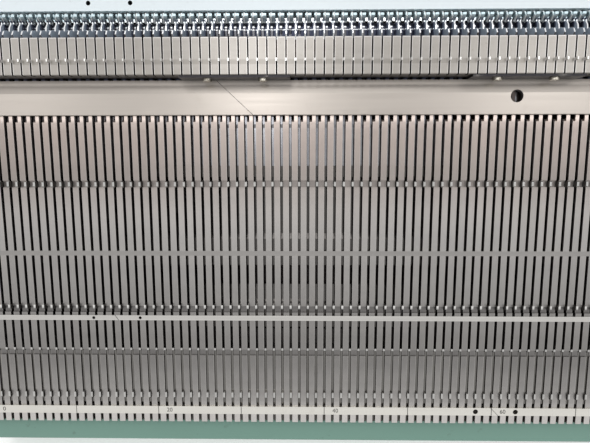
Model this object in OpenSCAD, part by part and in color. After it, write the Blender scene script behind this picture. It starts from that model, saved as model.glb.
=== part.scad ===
/* [Beds] */
// Needles on each bed
needles = 76; // [16:2:84]
// Distance from one needle to the next
pitch = 5.08; // [4.9:0.02:6.2]
// Slope of each bed against the floor
bed_angle = 45; // [43:1:47]
// Length of a bed from the throat line down its slope
bed_length = 236.2; // [210:0.1:260]
// Thickness of a bed plate
bed_thickness = 18; // [16:0.5:24]
// Plain bed metal beyond the outermost needles
end_margin = 4; // [3:0.5:12]
// Travel of the rear bed to each side of its rest place
rack_travel = 5.08; // [2:0.02:8]

/* [Throat] */
// Gap between the two beds where the fabric passes down
throat_width = 5.2; // [5:0.1:6]
// Depth of the sinker tips under the wall tops
tip_drop = 1.7; // [1.4:0.1:2]

/* [Tricks] */
// Width of a trick, the groove that a needle slides in
trick_width = 1.7; // [1.5:0.05:1.9]
// Depth of a trick under the jacks
trick_depth = 8; // [7.5:0.1:9]
// Depth of a trick under the thin needle stem
stem_depth = 4.7; // [4.5:0.1:5.2]
// Width of the side pocket that opens a trick to the right
pocket_width = 1.37; // [1.2:0.01:1.45]
// Depth of the side pocket
pocket_depth = 4; // [3.6:0.1:4.4]
// Length of the side pocket from the throat line
pocket_length = 55; // [53:0.1:58]
// Depth of the shallow grooves across the wall tops
cross_groove_depth = 0.7; // [0.4:0.1:1.2]

/* [Sinker bar] */
// Distance from the throat line to the sinker bar
bar_start = 11.7; // [11.4:0.1:12]
// Length of the bar down the slope
bar_length = 19.6; // [19.4:0.1:20]
// Height of the bar over the wall tops
bar_height = 10.9; // [10.4:0.1:12]
// Width of a slot in the bar
sinker_slot = 0.9; // [0.85:0.01:1]
// Height of the arch over the latches
arch_height = 5.4; // [5:0.1:6]
// Length of bar that stands on the walls
bar_foot = 12; // [11:0.5:12.5]
// Thickness of the web that joins the bar at its lower end
bar_web = 1.5; // [1.2:0.1:1.8]
// Height of that web
web_height = 7; // [5:0.5:8]

/* [Sinkers] */
// Thickness of a sinker
sinker_thickness = 0.7; // [0.6:0.01:0.75]
// Radius of a sinker's low nose
nose_radius = 6.4; // [6.2:0.1:6.6]
// Radius of the taller shoulder behind the nose
shoulder_radius = 4; // [3.7:0.1:4.2]
// Depth of the sinkers' backs under the top of the bar
sinker_back = 4.4; // [3.6:0.1:4.6]
// Radius of the wire that the sinkers turn on
wire_radius = 0.8; // [0.6:0.05:1]
// Distance from the throat line to that wire
wire_place = 26.5; // [26:0.1:27]
// Height of the wire over the wall tops
wire_height = 2.6; // [2.4:0.1:3]
// Height of a sinker butt over the bar
sinker_butt = 2.5; // [1.5:0.1:3]
// Distance from the throat line to the sinker butts
sinker_butt_place = 24; // [20:0.5:24.5]

/* [Cover strips] */
// Distance from the throat line to the wide cover strip
cover_start = 32.3; // [32.3:0.1:33]
// Width of the cover strip
cover_width = 19.1; // [17:0.1:19.4]
// Height of the cover strip over the wall tops
cover_rise = 1.8; // [1:0.1:2]
// Depth that the cover strip is let into the walls
cover_seat = 1.5; // [1:0.1:1.8]
// Width of the bevel on its upper edge
cover_bevel = 7.2; // [2:0.1:9]
// Place along the bed of its slanting joint
cover_joint = -48.8; // [-70:0.1:-40]
// Slant of that joint along the bed
cover_slant = 20.4; // [5:0.1:24]
// Place along the bed of the sight hole
sight_hole_place = 118; // [60:0.5:130]
// Distance from the cover strip's upper edge to the middle of the sight hole
sight_hole_down = 9.1; // [7:0.1:12]
// Radius of the sight hole
sight_hole_radius = 3.5; // [2:0.1:4.5]

/* [Narrow strips] */
// Distance from the bed's lower end up to the flush strip
flush_up = 107; // [104:0.1:110]
// Width of the flush strip
flush_width = 2.8; // [2:0.1:3.5]
// Depth of the grooves that the flush and jack strips lie in
strip_seat = 2; // [1.6:0.1:2.1]
// Distance from the bed's lower end up to the jack strip
jack_strip_up = 67.8; // [67:0.1:68.5]
// Width of the jack strip
jack_strip_width = 3; // [2.8:0.1:3.6]
// Height of the jack strip over the wall tops
jack_strip_rise = 0.3; // [0.1:0.1:0.6]
// Place along the bed of the jack strip's joint
jack_strip_joint = -113; // [-120:0.1:-102]
// Place along the bed of the jack strip's first screw hole
jack_strip_hole = -125.9; // [-140:0.1:-122]
// Distance between the two screw holes beside that joint
jack_strip_hole_gap = 28; // [22:0.1:30]
// Radius of the screw holes in the jack strip
jack_hole_radius = 0.9; // [0.6:0.1:1.2]
// Distance from the bed's lower end up to the scale strip
scale_up = 10.4; // [9:0.1:11]
// Width of the scale strip
scale_width = 4.9; // [4.5:0.1:6]
// Height of the scale strip over the wall tops
scale_rise = 0.8; // [0.4:0.1:1.2]
// Depth that the scale strip is let into the walls
scale_seat = 1.6; // [1.2:0.1:1.8]
// Place along the bed of the scale strip's joint
scale_joint = 113.8; // [110:0.1:118]
// Slant of that joint along the bed
scale_slant = 4.6; // [2:0.1:6]
// Place along the bed of the scale strip's first screw hole
scale_hole = 104.7; // [90:0.1:106]
// Distance between the two screw holes beside that joint
scale_hole_gap = 24.1; // [22:0.1:30]
// Radius of the screw holes in the scale strip
scale_hole_radius = 1.5; // [1:0.1:1.8]
// Needles from one scale mark to the next
scale_step = 10; // [5:1:20]
// Width and depth of a scale mark
scale_mark = 0.4; // [0.2:0.05:0.6]
// Gap between the two lengths of a strip at their joint
joint_gap = 0.35; // [0.1:0.05:0.6]

/* [Needles] */
// Thickness of needles and jacks
needle_thickness = 1.2; // [1:0.05:1.3]
// Height of the needle stem
stem_height = 2; // [1.8:0.1:2.1]
// Radius of the outside of the hook
hook_radius = 1.7; // [1.5:0.05:1.8]
// Thickness of the hook's wire
hook_wire = 0.7; // [0.5:0.05:0.8]
// Distance from the hook's end to the latch rivet
latch_place = 9.6; // [9:0.1:10]
// Radius of the latch rivet
rivet_radius = 0.35; // [0.3:0.01:0.4]
// Thickness of the latch
latch_thickness = 0.5; // [0.4:0.05:0.55]
// Place of the needle's deep tail under the throat line
tail_start = 58; // [57.5:0.5:60]
// Place of the needle's end
needle_end = 84.5; // [82:0.5:85]
// Travel of a needle up its trick
needle_travel = 20; // [16:0.5:20.5]

/* [Jacks] */
// Place of the needle jack butt under the throat line
butt_a = 88.4; // [88:0.1:90]
// Height of the needle and lifting jack butts over the walls
butt_height = 2.2; // [1.5:0.1:2.6]
// Length of a needle jack butt
butt_length = 3.4; // [2.8:0.1:4]
// Distance from the bed's lower end up to the needle jacks' lower ends
needle_jack_up = 98.2; // [97:0.1:100]
// Distance from the bed's lower end up to the lifting jack butts
butt_c_up = 74.8; // [74:0.1:76]
// Travel of a lifting jack up its trick
lifting_travel = 10; // [6:0.5:10.5]
// Distance from the bed's lower end up to the selectors' upper ends
selector_up = 47.5; // [46:0.1:48]
// Distance from the bed's lower end up to the selector butts
butt_e_up = 19.7; // [19:0.1:21]
// Length of a selector butt
selector_butt_length = 4; // [3:0.1:4.4]
// Height of a selector butt over the walls
selector_butt_height = 1.3; // [0.8:0.1:2]
// Depth of a selector's back under the wall tops
selector_back = 0.9; // [0.6:0.1:2.4]
// Length of the selector's low part in front of the scale strip
selector_hollow = 2.2; // [1:0.1:2.6]
// Travel of a selector up its trick
selector_travel = 8; // [4:0.5:8.5]

/* [Rear rail] */
// Height of the rail's upper face over the wall tops
rail_height = 12; // [10:0.5:16]
// Distance from the throat line to the rail's front face
rail_start = 3; // [2.5:0.1:4]
// Height of the rail's lower front edge over the wall tops
rail_lip = 2.8; // [2.6:0.1:3.4]
// Radius of the two holes in the rail's front face
rail_hole_radius = 1.3; // [0.8:0.1:1.6]
// Place along the bed of the first rail hole
rail_hole_place = -125.1; // [-140:0.1:-100]
// Distance between the rail holes
rail_hole_gap = 24; // [15:0.1:30]
// Height of the rail holes over the wall tops
rail_hole_height = 7.1; // [5:0.1:9]

/* [Keeper plates] */
// Length of a keeper plate
keeper_length = 60; // [50:1:80]
// Thickness of a keeper plate
keeper_thickness = 1.2; // [0.8:0.1:1.5]
// Height of a keeper plate
keeper_height = 8; // [7:0.1:8.5]
// Place along the bed of the first keeper plate's middle
keeper_place = -36.8; // [-50:0.1:-30]
// Distance from one keeper plate to the next
keeper_spacing = 157; // [120:1:160]
// Needles from one keeper screw to the next
keeper_screw_step = 6; // [4:2:8]
// Radius of a keeper screw's head
keeper_head_radius = 2.5; // [2:0.1:2.8]

/* [Base] */
// Thickness of the base's sloping walls
base_wall = 14; // [10:0.5:20]
// Width of the ledge that the bed stands on
ledge_width = 14.5; // [8:0.1:16]
// Depth of the ledge under the wall tops
ledge_drop = 4; // [3.5:0.1:5]
// Height of the ledge over the floor
foot_height = 38; // [30:1:80]
// Width of each foot
foot_width = 44; // [36:1:60]
// Depth of the bolt holes in the undersides of the feet
foot_hole_depth = 14; // [10:1:24]
// Half of the opening between the sloping walls under the throat
well_half = 14; // [12:0.5:18]
// Thickness of the end frames
frame_thickness = 16; // [10:1:24]
// Length of base beyond the beds at each end
base_margin = 12; // [10:0.5:20]
// Radius of the bolt holes in the feet
foot_hole_radius = 4.5; // [3:0.5:6]
// Distance of those holes from the base's ends
foot_hole_inset = 40; // [30:1:60]

/* [Fasteners] */
// Radius of the bed bolts
bolt_radius = 3; // [2.5:0.1:4]
// Depth that the bed bolts enter a bed
bolt_depth = 7; // [5:0.5:7.5]
// Radius of a bed bolt's head
bolt_head_radius = 5; // [4.6:0.1:6]
// Height of a bed bolt's head
bolt_head_height = 6; // [4:0.5:8]
// Place down the slope of the upper row of bed bolts
bolt_row_upper = 70; // [60:1:90]
// Distance from the bed's lower end up to the lower row of bed bolts
bolt_row_up = 46.2; // [36:0.1:80]
// Distance of the bed bolts from the beds' ends
bolt_inset = 60; // [50:1:70]
// Play between pieces that are let into one another
play = 0.1; // [0.05:0.01:0.15]
// Play between a bed and the base that it lies on
seat_play = 0.02; // [0.01:0.01:0.05]
// Play between a pin and its hole
pin_play = 0.05; // [0.02:0.01:0.08]
// Play between a sliding piece and the floor of its trick
slide_play = 0.02; // [0.01:0.01:0.05]

/* [Hidden] */
$fn = 32;

steel = "gainsboro";
dark_steel = "dimgray";
blue_steel = "slategray";
cast_green = "cadetblue";
pale_paint = "aliceblue";

slope_cos = cos(bed_angle);
slope_sin = sin(bed_angle);
// Distance of a bed's throat line from the middle plane
tip_u = 0.2;
throat_offset = throat_width / 2 + tip_drop * slope_sin - tip_u * slope_cos;
bed_x = needles * pitch + 2 * end_margin;
base_x = bed_x + 2 * base_margin;
well_floor = bed_thickness + base_wall;
ledge_start = bed_length + 0.5;
ledge_end = ledge_start + ledge_width;
flush_start = bed_length - flush_up;
jack_strip_start = bed_length - jack_strip_up;
scale_start = bed_length - scale_up;
needle_jack_end = bed_length - needle_jack_up;
lifting_start = needle_jack_end + lifting_travel + 2;
butt_c = bed_length - butt_c_up;
selector_start = bed_length - selector_up;
lifting_end = selector_start - selector_travel - 2.7;
butt_e = bed_length - butt_e_up;
bolt_row_lower = bed_length - bolt_row_up;
throat_height = foot_height + ledge_end * slope_sin + ledge_drop * slope_cos;
// Place of a sinker to the right of its needle: the middle of the wall beside the pocket
sinker_side = (pitch + pocket_width) / 2;
bar_end = bar_start + bar_length;
cover_end = cover_start + cover_width;
foot_start = bar_end - bar_foot;
// Reach of the slots that let the sinkers into the walls
wall_slot_end = foot_start + 4;
wall_slot_depth = stem_depth + 0.3;
// The shallow stretch of a trick ends short of the raised needle's deep tail
stem_reach = tail_start - needle_travel - 5;
nose_bottom = -stem_depth + 0.2;
// Depth of the middle of the nose's round, and the angle at which the round begins
nose_depth = 3.4;
nose_angle = 158;
shoulder_middle = 4.9;
// The hooks rest just behind the throat faces
hook_u = tip_u + 2.1;
hook_w = -stem_depth + hook_radius;
latch_u = hook_u + latch_place;
latch_w = -stem_depth + stem_height * 0.75;
latch_reach = latch_place - 2.6;
// Angle at which the closed latch lies on the hook
latch_rise = 13;
over = 1;
// Upper end of the walls, cut back so that the raised needles of the other bed pass clear of it
verge_u = stem_depth - 2 * throat_offset * slope_cos + 0.2;
verge_w = (throat_width / 2 - throat_offset - verge_u * slope_cos) / slope_sin;
// Single needles that are shown free to move, counted from the left
singles = [floor(needles / 2) - 3, floor(needles / 2) - 2, floor(needles / 2) - 1];
bank = [for (i = [0 : needles - 1]) if (len(search(i, singles)) == 0) i];
all_needles = [for (i = [0 : needles - 1]) i];

function needle_x(i) = (i - (needles - 1) / 2) * pitch;
// Distance down the slope at which the throat's upright face meets a depth
function throat_u(w) = (throat_width / 2 - throat_offset - w * slope_sin) / slope_cos;
function arc(cu, cw, r, a0, a1, steps) =
    [for (k = [0 : steps]) let (a = a0 + (a1 - a0) * k / steps) [cu + r * cos(a), cw + r * sin(a)]];
// World place, in the Y and Z directions, of a point of the front bed
function world(u, w) = [
    -throat_offset - u * slope_cos - w * slope_sin,
    throat_height - u * slope_sin + w * slope_cos
];

// Sets children of a bed's own frame, X along the bed and Y up its slope, in their place
module front_side() {
    translate([0, -throat_offset, throat_height]) rotate([bed_angle, 0, 0]) children();
}

module rear_side() {
    translate([pitch / 2, 0, 0]) rotate([0, 0, 180]) front_side() children();
}

// Gives an outline drawn in distances down the slope and heights a thickness along the bed
module slice(thickness) {
    rotate([90, 0, -90]) linear_extrude(height = thickness, center = true) children();
}

// A bar along the whole bed between two distances down the slope and two heights
module long_bar(u0, u1, w0, w1, length = bed_x) {
    translate([-length / 2, -u1, w0]) cube([length, u1 - u0, w1 - w0]);
}

// A row of like pieces, one to each listed needle
module row(list) {
    for (i = list) translate([needle_x(i), 0, 0]) children();
}

// A row of pieces that slide in their tricks
module sliding_row(list) {
    translate([0, 0, slide_play]) row(list) children();
}

module trick_outline() {
    polygon([
        [-over * 6, over], [-over * 6, -stem_depth], [stem_reach, -stem_depth],
        [stem_reach + trick_depth - stem_depth, -trick_depth],
        [bed_length + over, -trick_depth], [bed_length + over, over]
    ]);
}

module pocket_outline() {
    polygon([
        [-over * 6, over], [-over * 6, -pocket_depth], [pocket_length - pocket_depth, -pocket_depth],
        [pocket_length, 0], [pocket_length, over]
    ]);
}

// A bed plate with its tricks, the slots for its sinkers or comb plates, and its bolt holes
module bed_blank() {
    difference() {
        slice(bed_x) polygon([
            [verge_u, 0], [verge_u, verge_w], [throat_u(-bed_thickness), -bed_thickness],
            [bed_length, -bed_thickness], [bed_length, 0]
        ]);
        row(all_needles) {
            slice(trick_width) trick_outline();
            translate([sinker_side, 0, 0]) slice(sinker_slot)
                polygon([
                    [-over * 6, over], [-over * 6, -wall_slot_depth],
                    [wall_slot_end, -wall_slot_depth], [wall_slot_end, over]
                ]);
        }
        bolt_places() translate([0, 0, -bed_thickness - over])
            cylinder(h = bolt_depth + 1 + over, r = bolt_radius);
    }
}

module front_bed_plate() {
    difference() {
        bed_blank();
        row(all_needles) translate([(trick_width + pocket_width) / 2, 0, 0])
            slice(pocket_width + 0.01) pocket_outline();
        groove(cover_start - play, cover_width + 2 * play, cover_seat);
        groove(flush_start, flush_width, strip_seat);
        groove(jack_strip_start, jack_strip_width, strip_seat);
        groove(scale_start, scale_width, scale_seat);
        groove(butt_a - 0.4, butt_length + 0.4, cross_groove_depth);
        groove(butt_c + 1.2, butt_length + 0.4, cross_groove_depth);
        groove(selector_start + 1, butt_length + 0.2, cross_groove_depth);
    }
}

// A groove across all the wall tops
module groove(start, width, depth) {
    long_bar(start, start + width, -depth, over, bed_x + over);
}

module bolt_places() {
    for (side = [-1, 1], u = [bolt_row_upper, bolt_row_lower])
        translate([side * (bed_x / 2 - bolt_inset), -u, 0]) children();
}

module bed_bolts(gap) {
    bolt_places() {
        translate([0, 0, -well_floor - gap])
            cylinder(h = base_wall + bolt_depth + gap, r = bolt_radius - pin_play);
        translate([0, 0, -well_floor - gap - bolt_head_height])
            cylinder(h = bolt_head_height, r = bolt_head_radius);
    }
}

// Front edge of a sinker: a low rounded nose, then a taller curved shoulder
function nose_points(low, high) = concat(
    [[throat_u(nose_bottom), nose_bottom], [tip_u, -tip_drop]],
    arc(nose_radius, -nose_depth, nose_radius, nose_angle, 90, low),
    arc(nose_radius + shoulder_radius, shoulder_middle, shoulder_radius, 172, 100, high)
);

module sinker_outline(low, high) {
    difference() {
        polygon(concat(
            nose_points(low, high),
            [
                [bar_start + 1, bar_height - sinker_back],
                [sinker_butt_place - 1.2, bar_height - sinker_back],
                [sinker_butt_place - 0.7, bar_height + sinker_butt],
                [sinker_butt_place + 0.7, bar_height + sinker_butt],
                [sinker_butt_place + 1.2, bar_height - sinker_back],
                [wire_place + 1.9, wire_height + 1.4],
                [wire_place + 1.4, wire_height - 1.6],
                [foot_start - 0.5, 0.6],
                [15.5, nose_bottom]
            ]
        ));
        translate([wire_place, wire_height]) circle(r = wire_radius + pin_play);
    }
}

module sinker(low = 3, high = 2) {
    translate([sinker_side, 0, 0]) slice(sinker_thickness) sinker_outline(low, high);
}

module comb_plate() {
    translate([sinker_side, 0, 0]) slice(sinker_thickness) polygon([
        [throat_u(nose_bottom), nose_bottom], [tip_u, -tip_drop],
        [1.8, 1], [5, rail_lip - 0.4],
        [foot_start + 3, rail_lip - 0.4], [foot_start + 3, -wall_slot_depth],
        [throat_u(nose_bottom) + 1, -wall_slot_depth]
    ]);
}

module sinker_bar() {
    difference() {
        slice(bed_x) polygon([
            [bar_start, arch_height], [bar_start, bar_height - 0.4], [bar_start + 0.4, bar_height],
            [bar_end - 0.4, bar_height], [bar_end, bar_height - 0.4], [bar_end, 0],
            [foot_start, 0], [foot_start, arch_height - 2], [foot_start - 2, arch_height]
        ]);
        row(all_needles) translate([sinker_side, 0, 0]) slice(sinker_slot) polygon([
            [bar_start - over, bar_height + over], [bar_end + over, bar_height + over],
            [bar_end + over, web_height], [bar_end - bar_web, web_height],
            [bar_end - bar_web, -over], [bar_start - over, -over]
        ]);
        translate([0, -wire_place, wire_height]) rotate([0, 90, 0])
            cylinder(h = bed_x + over, r = wire_radius + pin_play, center = true);
        keeper_screw_places() translate([0, -bar_end + 4, 0]) rotate([90, 0, 0])
            cylinder(h = 4 + over, r = 1);
    }
}

module sinker_wire() {
    translate([0, -wire_place, wire_height]) rotate([0, 90, 0])
        cylinder(h = bed_x, r = wire_radius, center = true);
}

// Needle that stands nearest to a place along the bed
function nearest_needle(x) = round(x / pitch + (needles - 1) / 2);
keeper_x = [keeper_place, keeper_place + keeper_spacing];

module keeper_screw_places() {
    for (x = keeper_x, side = [-1, 1])
        translate([
            needle_x(nearest_needle(x) + side * keeper_screw_step / 2) + pocket_width / 2,
            0, bar_height - 0.8 - keeper_height / 2
        ]) children();
}

module keeper_plates() {
    difference() {
        for (x = keeper_x)
            translate([
                needle_x(nearest_needle(x)) + pocket_width / 2 - keeper_length / 2,
                -bar_end - keeper_thickness, bar_height - 0.8 - keeper_height
            ]) cube([keeper_length, keeper_thickness, keeper_height]);
        keeper_screw_places() translate([0, -bar_end + over, 0]) rotate([90, 0, 0])
            cylinder(h = keeper_thickness + 2 * over, r = 1 + play);
    }
}

module keeper_screws() {
    keeper_screw_places() {
        translate([0, -bar_end + 3.5, 0]) rotate([90, 0, 0])
            cylinder(h = 3.5 + keeper_thickness, r = 1 - pin_play);
        translate([0, -bar_end - keeper_thickness, 0]) rotate([90, 0, 0]) difference() {
            cylinder(h = 1.4, r = keeper_head_radius);
            translate([-keeper_head_radius, -0.3, 0.8])
                cube([2 * keeper_head_radius, 0.6, over]);
        }
    }
}

// Plan of one of two lengths of strip that meet in a slanting joint
module strip_plan(u0, u1, joint, slant, right) {
    end = right ? bed_x / 2 : -bed_x / 2;
    near = right ? joint_gap / 2 : -joint_gap / 2;
    polygon([[end, -u0], [joint + near, -u0], [joint + slant + near, -u1], [end, -u1]]);
}

module cover_section() {
    slice(bed_x) polygon([
        [cover_start, -cover_seat], [cover_start, cover_rise - 1],
        [cover_start + cover_bevel, cover_rise], [cover_end - 0.3, cover_rise],
        [cover_end, cover_rise - 0.3], [cover_end, -cover_seat]
    ]);
}

module cover_strip(right) {
    difference() {
        intersection() {
            cover_section();
            translate([0, 0, -cover_seat]) linear_extrude(height = cover_seat + cover_rise)
                strip_plan(cover_start, cover_end, cover_joint, cover_slant, right);
        }
        if (right)
            translate([sight_hole_place, -cover_start - sight_hole_down, -cover_seat - over])
                cylinder(h = cover_seat + cover_rise + 2 * over, r = sight_hole_radius);
    }
}

module jack_strip(right) {
    difference() {
        translate([0, 0, -strip_seat]) linear_extrude(height = strip_seat + jack_strip_rise)
            strip_plan(jack_strip_start, jack_strip_start + jack_strip_width,
                jack_strip_joint, jack_strip_width * 0.7, right);
        for (k = [0, 1]) translate([
            jack_strip_hole + k * jack_strip_hole_gap,
            -jack_strip_start - jack_strip_width / 2, -strip_seat - over
        ]) cylinder(h = strip_seat + jack_strip_rise + 2 * over, r = jack_hole_radius);
    }
}

module scale_strip(right) {
    difference() {
        translate([0, 0, -scale_seat]) linear_extrude(height = scale_seat + scale_rise)
            strip_plan(scale_start, scale_start + scale_width, scale_joint, scale_slant, right);
        for (k = [0, 1]) translate([
            scale_hole + k * scale_hole_gap,
            -scale_start - scale_width / 2, -scale_seat - over
        ]) cylinder(h = scale_seat + scale_rise + 2 * over, r = scale_hole_radius);
        for (i = [0 : scale_step : needles - 1])
            translate([needle_x(i), -scale_start - scale_width / 2, scale_rise])
                cube([scale_mark, scale_width + over, scale_mark], center = true);
    }
}

// A strip that lies on the wall tops
module plain_strip(start, width, rise) {
    long_bar(start, start + width, 0, rise);
}

// Hooked end, stem, and a notched tail that the jack pulls on
module needle_outline() {
    polygon(concat(
        arc(hook_u + hook_radius, hook_w, hook_radius, 270, 60, 7),
        [
            [hook_u + hook_radius + 1.7, hook_w + hook_radius - 1],
            [hook_u + hook_radius + 1.5, hook_w + hook_radius - 1.5]
        ],
        arc(hook_u + hook_radius, hook_w, hook_radius - hook_wire, 60, 250, 6),
        [
            [hook_u + 4, -stem_depth + hook_wire + 0.2], [latch_u - 3.5, -stem_depth + stem_height * 0.6],
            [latch_u - 1.4, -stem_depth + stem_height]
        ],
        tail_points()
    ));
}

function tail_points() = [
    [tail_start - 2, -stem_depth + stem_height], [tail_start, -3.6],
    [needle_end - 5, -3.6], [needle_end - 5, -6], [needle_end - 2, -6],
    [needle_end - 2, -3.6], [needle_end, -3.6], [needle_end, -trick_depth],
    [tail_start, -trick_depth], [tail_start - 2, -stem_depth]
];

module needle() {
    difference() {
        slice(needle_thickness) needle_outline();
        translate([0, -latch_u, latch_w]) translate([
            -latch_thickness / 2 - pin_play, -latch_reach - 0.6, -rivet_radius - 0.45
        ]) cube([latch_thickness + 2 * pin_play, latch_reach + 3.6, 4]);
    }
    translate([0, -latch_u, latch_w]) rotate([0, 90, 0])
        cylinder(h = needle_thickness, r = rivet_radius, center = true);
}

module latch() {
    slice(latch_thickness) translate([latch_u, latch_w]) difference() {
        rotate(-latch_rise) polygon(concat(
            arc(0, 0, rivet_radius + 0.4, 120, -110, 6),
            [
                [-latch_reach + 1.6, -0.1], [-latch_reach, 0.2],
                [-latch_reach + 0.2, 0.65], [-latch_reach + 1.8, 0.5]
            ]
        ));
        circle(r = rivet_radius + pin_play);
    }
}

// A needle of the bank, with its closed latch as part of its outline
module closed_needle_outline() {
    difference() {
        polygon(concat(
            arc(hook_u + hook_radius, hook_w, hook_radius, 270, 70, 4),
            [[latch_u, -stem_depth + stem_height + 0.2]],
            tail_points()
        ));
        polygon([
            [hook_u + hook_wire, hook_w], [hook_u + hook_radius, hook_w + hook_radius - hook_wire],
            [latch_u - 3, -stem_depth + stem_height - 0.2], [hook_u + hook_radius, -stem_depth + hook_wire]
        ]);
    }
}

module bank_needle() {
    slice(needle_thickness) closed_needle_outline();
}

// A needle of the rear bed, whose tail meets its jack face to face
module plain_needle() {
    slice(needle_thickness) polygon(concat(
        arc(hook_u + hook_radius, hook_w, hook_radius, 270, 70, 3),
        [
            [latch_u, -stem_depth + stem_height], [tail_start - 2, -stem_depth + stem_height],
            [tail_start, -3.6], [needle_end, -3.6], [needle_end, -trick_depth],
            [tail_start, -trick_depth], [tail_start - 2, -stem_depth]
        ]
    ));
}

module needle_jack() {
    slice(needle_thickness) polygon([
        [needle_end - 4.8, -5.8], [needle_end - 4.8, -2.4], [needle_end + 1.5, -2.4],
        [needle_end + 1.5, -6], [butt_a, -6], [butt_a, butt_height - 0.4],
        [butt_a + 0.4, butt_height], [butt_a + butt_length - 0.6, butt_height],
        [butt_a + butt_length, butt_height - 0.8], [butt_a + butt_length, -4.6],
        [flush_start - 10, -4.6], [flush_start - 7, -strip_seat - 0.4],
        [needle_jack_end, -strip_seat - 0.4], [needle_jack_end, -trick_depth],
        [needle_end + 0.2, -trick_depth], [needle_end + 0.2, -3.4], [needle_end - 2.2, -3.4],
        [needle_end - 2.2, -5.8]
    ]);
}

module plain_needle_jack() {
    slice(needle_thickness) polygon([
        [needle_end, -trick_depth], [needle_end, -3.6], [butt_a, -3.6], [butt_a, butt_height],
        [butt_a + butt_length, butt_height], [butt_a + butt_length, -4.6],
        [needle_jack_end, -4.6], [needle_jack_end, -trick_depth]
    ]);
}

module lifting_jack() {
    slice(needle_thickness) polygon([
        [lifting_start, -trick_depth], [lifting_start, -4.2], [butt_c, -4.2],
        [butt_c, butt_height], [butt_c + 2.2, butt_height],
        [butt_c + butt_length, -0.6], [butt_c + butt_length, -strip_seat - 0.3],
        [lifting_end - 2, -strip_seat - 0.3], [lifting_end, -4.6], [lifting_end, -trick_depth]
    ]);
}

module plain_lifting_jack() {
    slice(needle_thickness) polygon([
        [lifting_start, -trick_depth], [lifting_start, -4.2], [butt_c, -4.2],
        [butt_c, butt_height], [butt_c + butt_length, -strip_seat - 0.3],
        [lifting_end, -strip_seat - 0.3], [lifting_end, -trick_depth]
    ]);
}

module selector() {
    slice(needle_thickness) polygon([
        [selector_start, -trick_depth], [selector_start, 0.3],
        [selector_start + 1.4, 0.3], [selector_start + 2.2, -selector_back], [butt_e, -selector_back],
        [butt_e, selector_butt_height], [butt_e + selector_butt_length - 0.8, selector_butt_height],
        [butt_e + selector_butt_length, selector_butt_height - 0.8],
        [butt_e + selector_butt_length, -0.6], [scale_start - selector_hollow, -0.6],
        [scale_start - selector_hollow, -scale_seat - 0.3],
        [bed_length + 0.2, -scale_seat - 0.3], [bed_length + 0.2, -trick_depth]
    ]);
}

module plain_selector() {
    slice(needle_thickness) polygon([
        [selector_start, -trick_depth], [selector_start, -selector_back], [butt_e, -selector_back],
        [butt_e, selector_butt_height], [butt_e + selector_butt_length, selector_butt_height],
        [butt_e + selector_butt_length, -2.8],
        [bed_length + 0.2, -2.8], [bed_length + 0.2, -trick_depth]
    ]);
}

module rail_body() {
    difference() {
        slice(bed_x) polygon([
            [rail_start, rail_lip], [rail_start, rail_height - 1.5], [rail_start + 1.5, rail_height],
            [bar_end - 1, rail_height], [bar_end, rail_height - 1], [bar_end, 0], [foot_start + 3.2, 0],
            [foot_start + 3.2, rail_lip - 0.2], [foot_start, arch_height], [rail_start + 3, arch_height],
            [rail_start + 3, rail_lip]
        ]);
        for (k = [0, 1]) translate([
            -(rail_hole_place + k * rail_hole_gap), -rail_start + over, rail_hole_height
        ]) rotate([90, 0, 0]) cylinder(h = 8 + over, r = rail_hole_radius);
    }
}

// Outer face of the feet, set back under the ledge, and their inner face
foot_face = world(ledge_end, -bed_thickness)[0];
foot_inside = foot_face + foot_width;
foot_hole_y = -foot_inside + 12;

// Distance down the slope at which a depth is met at a place across the beds
function slope_u(across, w) = (-across - throat_offset - w * slope_sin) / slope_cos;

// Section of the front half of the base, in the world's Y and Z directions
function base_points() = [
    world(slope_u(-well_half, -bed_thickness), -bed_thickness - seat_play),
    world(slope_u(-well_half, -well_floor), -well_floor),
    world(slope_u(foot_inside, -well_floor), -well_floor),
    [foot_inside, 0], [foot_face, 0], world(ledge_end, -bed_thickness),
    world(ledge_end, -ledge_drop - 1), world(ledge_end - 1, -ledge_drop),
    world(ledge_start, -ledge_drop), world(ledge_start, -bed_thickness - seat_play)
];

module base_half() {
    rotate([90, 0, 90]) linear_extrude(height = base_x, center = true) polygon(base_points());
}

// End frame that ties the two sloping walls together over an arch
module end_frame() {
    brow = world(40, -bed_thickness - 2);
    shoulder = world(slope_u(foot_inside, -bed_thickness - 2), -bed_thickness - 2);
    rotate([90, 0, 90]) linear_extrude(height = frame_thickness, center = true) difference() {
        polygon([
            [foot_inside, 0], shoulder, brow, [-brow[0], brow[1]],
            [-shoulder[0], shoulder[1]], [-foot_inside, 0]
        ]);
        circle(r = -foot_inside - 24, $fn = 96);
    }
}

module base_casting() {
    color(cast_green) difference() {
        union() {
            base_half();
            rotate([0, 0, 180]) base_half();
            for (side = [-1, 1])
                translate([side * (base_x - frame_thickness) / 2, 0, 0]) end_frame();
        }
        front_side() bolt_places() translate([0, 0, -well_floor - over])
            cylinder(h = base_wall + 2 * over, r = bolt_radius + play);
        rear_side() bolt_places() translate([0, 0, -well_floor - over])
            rack_slot(base_wall + 2 * over);
        for (sx = [-1, 1], sy = [-1, 1])
            translate([sx * (base_x / 2 - foot_hole_inset), sy * foot_hole_y, -over])
                cylinder(h = foot_hole_depth + over, r = foot_hole_radius);
    }
}

// Slot in which a rear bed bolt travels as the bed racks
module rack_slot(height) {
    r = bolt_radius + play;
    for (side = [-1, 1]) translate([side * rack_travel, 0, 0]) cylinder(h = height, r = r);
    translate([-rack_travel, -r, 0]) cube([2 * rack_travel, 2 * r, height]);
}

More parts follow.
